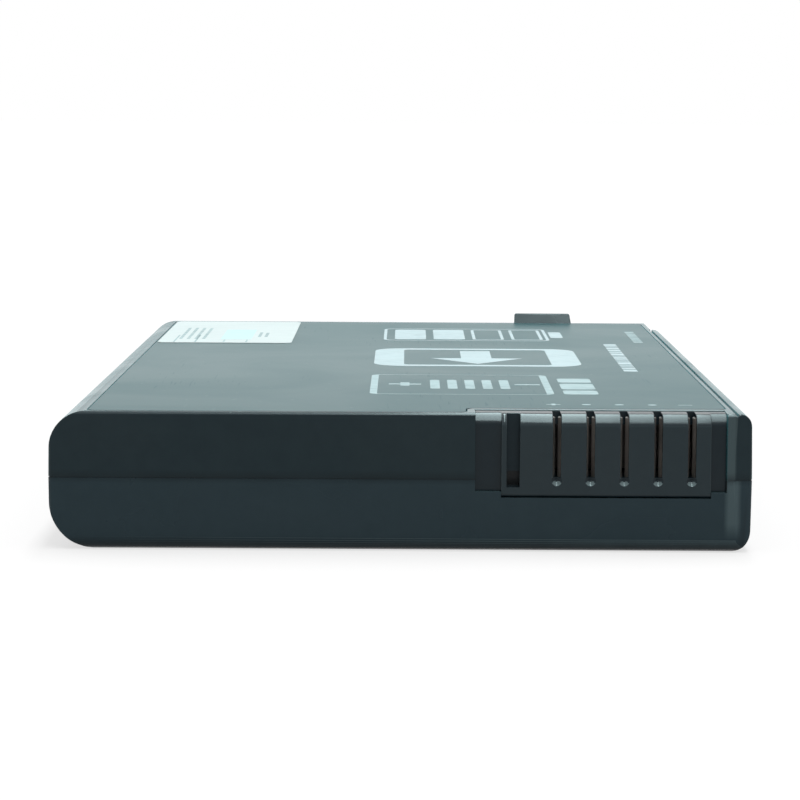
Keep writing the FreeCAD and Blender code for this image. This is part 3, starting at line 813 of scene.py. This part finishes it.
def print_slot_marks(base):
    """Small plus, dots and minus over the five slots."""
    ink = bmesh.new()
    setback, reach, stroke, dot_half, dot_radius = 10.9, 2.2, 0.6, 0.7, 0.65
    y = film_low.y / MM + setback
    for contact in CONTACTS:
        contact_low, contact_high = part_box("contact_" + contact)
        x = (contact_low.x + contact_high.x) / 2 / MM
        if contact == "positive":
            ink_plus(ink, x, y, reach, stroke, base)
        elif contact == "negative":
            ink_bar(ink, x, y, reach, stroke, base)
        else:
            dot = rounded_outline(x - dot_half, x + dot_half, y - dot_half, y + dot_half, dot_radius)
            ink_patch(ink, dot, base)
    printed("print_slot_marks", ink, pale_ink)


def print_label_block(base):
    """Grey field and fine rules of the label."""
    field = bmesh.new()
    ink_patch(field, rounded_outline(left=-35.7, right=-29.7, near=38.2, far=60.0, radius=0.3), base)
    printed("label_field", field, label_grey)
    rules = bmesh.new()
    stroke = 0.3
    long_rule, short_rule = (32.0, 47.0), (32.6, 37.4)
    places = ((-44.4, long_rule), (-40.3, long_rule), (-34.8, short_rule), (-30.4, short_rule))
    for x, (near, far) in places:
        ink_bar(rules, x, (near + far) / 2, stroke, far - near, base)
    printed("label_rules", rules, grey_ink)


def make_dash_rows():
    """Tree that lays rows of ink dashes of uneven length, as lines of small print look from afar."""
    tree = bpy.data.node_groups.new("dash_rows", "GeometryNodeTree")
    sizes = [("Rows", "Int"), ("Dashes", "Int"), ("Row Pitch", "Float"), ("Row Length", "Float"),
             ("Dash Height", "Float"), ("Shortest Dash", "Float"), ("Longest Dash", "Float"),
             ("Gap", "Float"), ("Thickness", "Float"), ("Seed", "Int"), ("Ink", "Material")]
    for label, kind in sizes:
        tree.interface.new_socket(name=label, in_out="INPUT", socket_type="NodeSocket" + kind)
    tree.interface.new_socket(name="Geometry", in_out="OUTPUT", socket_type="NodeSocketGeometry")
    given = add(tree, "NodeGroupInput").outputs
    count = product(tree, given["Rows"], given["Dashes"])
    points = add(tree, "GeometryNodeMeshLine", {"Count": count, "Offset": (0, 0, 0)})
    index = add(tree, "GeometryNodeInputIndex").outputs[0]
    row = calculate(tree, "FLOOR", calculate(tree, "DIVIDE", index, given["Dashes"]))
    length = add(tree, "FunctionNodeRandomValue", {2: given["Shortest Dash"], 3: given["Longest Dash"],
                                                   "Seed": given["Seed"]}, data_type="FLOAT").outputs[1]
    run = add(tree, "GeometryNodeAccumulateField", {0: calculate(tree, "ADD", length, given["Gap"]),
                                                    "Group ID": row}, data_type="FLOAT")
    start = run.outputs["Trailing"]
    middle = calculate(tree, "ADD", start, product(tree, length, 0.5))
    down = product(tree, row, product(tree, given["Row Pitch"], -1.0))
    half = product(tree, given["Thickness"], 0.5)
    place = add(tree, "ShaderNodeCombineXYZ", {0: middle, 1: down, 2: half})
    laid = add(tree, "GeometryNodeSetPosition", {"Geometry": points.outputs[0],
                                                 "Position": place.outputs[0]})
    over = calculate(tree, "GREATER_THAN", calculate(tree, "ADD", start, length), given["Row Length"])
    size = add(tree, "ShaderNodeCombineXYZ", {0: length, 1: given["Dash Height"], 2: given["Thickness"]})
    kept = calculate(tree, "SUBTRACT", 1.0, over)
    dash = add(tree, "GeometryNodeMeshCube", {"Size": (1, 1, 1)})
    dashes = add(tree, "GeometryNodeInstanceOnPoints", {
        "Points": laid.outputs[0], "Selection": kept, "Instance": dash.outputs[0],
        "Scale": size.outputs[0]})
    whole = add(tree, "GeometryNodeRealizeInstances", {0: dashes.outputs[0]})
    inked = add(tree, "GeometryNodeSetMaterial", {"Geometry": whole.outputs[0], "Material": given["Ink"]})
    add(tree, "NodeGroupOutput", {0: inked.outputs[0]})
    return tree


def print_rows(name, tree, corner, base, slot, **sizes):
    """Rows of dashes that run back along Y from a corner, stacked to the right. The sizes are in metres."""
    blank = bpy.data.objects.new(name + "_blank", bpy.data.meshes.new(name))
    scene.collection.objects.link(blank)
    rows = blank.modifiers.new("rows", "NODES")
    rows.node_group = tree
    sizes["thickness"] = INK_THICKNESS
    for socket in tree.interface.items_tree:
        if socket.in_out == "INPUT":
            rows[socket.identifier] = sizes[socket.name.lower().replace(" ", "_")]
    mesh = evaluated_mesh(blank)
    bpy.data.objects.remove(blank)
    x, y = corner
    mesh.transform(Matrix.Translation((x * MM, y * MM, base)) @ Matrix.Rotation(math.pi / 2, 4, "Z"))
    new_piece(name, mesh)


print_insert_mark(film_top)
print_charge_mark(film_top)
print_contact_key(film_top)
print_slot_marks(film_top)
print_label_block(label_top)
dash_rows = make_dash_rows()
print_rows("print_rating_row", dash_rows, (40.2, -19.6), film_top, "face_film", rows=1, dashes=24,
           row_pitch=3 * MM, row_length=56 * MM, dash_height=2.4 * MM, shortest_dash=1.1 * MM,
           longest_dash=4.2 * MM, gap=1.0 * MM, seed=7, ink=white_ink)
print_rows("print_small_row", dash_rows, (46.2, 36.7), film_top, "face_film", rows=1, dashes=16,
           row_pitch=3 * MM, row_length=27 * MM, dash_height=1.8 * MM, shortest_dash=0.8 * MM,
           longest_dash=2.6 * MM, gap=0.8 * MM, seed=11, ink=pale_ink)
print_rows("label_rows_left", dash_rows, (-43.6, 39.0), label_top, "label_paper", rows=4, dashes=12,
           row_pitch=1.5 * MM, row_length=26 * MM, dash_height=0.6 * MM, shortest_dash=1.0 * MM,
           longest_dash=3.6 * MM, gap=0.9 * MM, seed=3, ink=grey_ink)
print_rows("label_rows_right", dash_rows, (-28.4, 44.0), label_top, "label_paper", rows=2, dashes=6,
           row_pitch=1.3 * MM, row_length=11 * MM, dash_height=0.6 * MM, shortest_dash=0.8 * MM,
           longest_dash=2.4 * MM, gap=0.7 * MM, seed=5, ink=grey_ink)


# Studio
def make_camera():
    data = bpy.data.cameras.new("camera")
    data.lens = CAMERA_LENS
    data.sensor_width = CAMERA_SENSOR
    data.clip_start = CAMERA_NEAR
    data.clip_end = CAMERA_FAR
    camera = bpy.data.objects.new("camera", data)
    camera.matrix_world = (Matrix.Translation(CAMERA_PLACE) @ Matrix.Rotation(CAMERA_TURN, 4, "Z")
                           @ Matrix.Rotation(CAMERA_TILT, 4, "X") @ Matrix.Rotation(CAMERA_ROLL, 4, "Z"))
    scene.collection.objects.link(camera)
    scene.camera = camera


def shows_background(tree):
    """Mask of the rays that show the white background: the camera's, and those in reflections and through
    glass."""
    path = add(tree, "ShaderNodeLightPath").outputs
    mirrored = calculate(tree, "MAXIMUM", path["Is Glossy Ray"], path["Is Transmission Ray"])
    return calculate(tree, "MAXIMUM", path["Is Camera Ray"], mirrored)


def make_tent():
    """Light tent with a cool tint, brighter behind the pack than before it, and seen as plain white."""
    world = bpy.data.worlds.new("light_tent")
    world.use_nodes = True
    tree = world.node_tree
    tree.nodes.clear()
    way_back = split(tree, add(tree, "ShaderNodeTexCoord").outputs["Generated"])[1]
    level = add(tree, "ShaderNodeMapRange", {0: way_back, 1: TENT_TURN[0], 2: TENT_TURN[1], 3: TENT_FRONT,
                                             4: TENT_BACK}, interpolation_type="SMOOTHSTEP")
    lit = add(tree, "ShaderNodeBackground", {"Color": (*TENT_COLOUR, 1), "Strength": level.outputs[0]})
    white = add(tree, "ShaderNodeBackground", {"Color": WHITE, "Strength": 1.0})
    direct = shows_background(tree)
    blend = add(tree, "ShaderNodeMixShader", {0: direct, 1: lit.outputs[0], 2: white.outputs[0]})
    add(tree, "ShaderNodeOutputWorld", {"Surface": blend.outputs[0]})
    scene.world = world


def make_strip_light():
    """Long soft box overhead, in line with the pack, which draws the light lines on its rounded edges."""
    data = bpy.data.lights.new("strip_light", "AREA")
    data.shape = "RECTANGLE"
    data.size, data.size_y = STRIP_SIZE
    data.energy = STRIP_POWER
    data.color = TENT_COLOUR
    lamp = bpy.data.objects.new("strip_light", data)
    lamp.location = STRIP_PLACE
    scene.collection.objects.link(lamp)


def make_floor():
    """Pale floor that stays white where nothing shades it and keeps a soft shadow."""
    mesh = bpy.data.meshes.new("floor")
    ground = bmesh.new()
    bmesh.ops.create_grid(ground, x_segments=1, y_segments=1, size=FLOOR_SIZE)
    ground.to_mesh(mesh)
    ground.free()
    material = bpy.data.materials.new("floor_white")
    material.use_nodes = True
    tree = material.node_tree
    tree.nodes.clear()
    neutral = [min(TENT_COLOUR) / part for part in TENT_COLOUR]
    paper = add(tree, "ShaderNodeBsdfDiffuse", {"Color": [FLOOR_SHADE * part for part in neutral] + [1]})
    bounce = add(tree, "ShaderNodeBsdfDiffuse", {"Color": [FLOOR_BOUNCE * part for part in neutral] + [1]})
    place = add(tree, "ShaderNodeTexCoord").outputs["Object"]
    distance = add(tree, "ShaderNodeVectorMath", {0: place}, operation="LENGTH").outputs["Value"]
    level = ranged(tree, distance, *FLOOR_REACH, FLOOR_GLOW_NEAR, FLOOR_GLOW_FAR)
    glow = add(tree, "ShaderNodeEmission", {"Color": WHITE, "Strength": level})
    seen = add(tree, "ShaderNodeAddShader", {0: paper.outputs[0], 1: glow.outputs[0]})
    direct = shows_background(tree)
    blend = add(tree, "ShaderNodeMixShader", {0: direct, 1: bounce.outputs[0], 2: seen.outputs[0]})
    add(tree, "ShaderNodeOutputMaterial", {"Surface": blend.outputs[0]})
    mesh.materials.append(material)
    floor = bpy.data.objects.new("floor", mesh)
    scene.collection.objects.link(floor)


make_camera()
make_tent()
make_strip_light()
make_floor()
scene.view_settings.view_transform = "Standard"
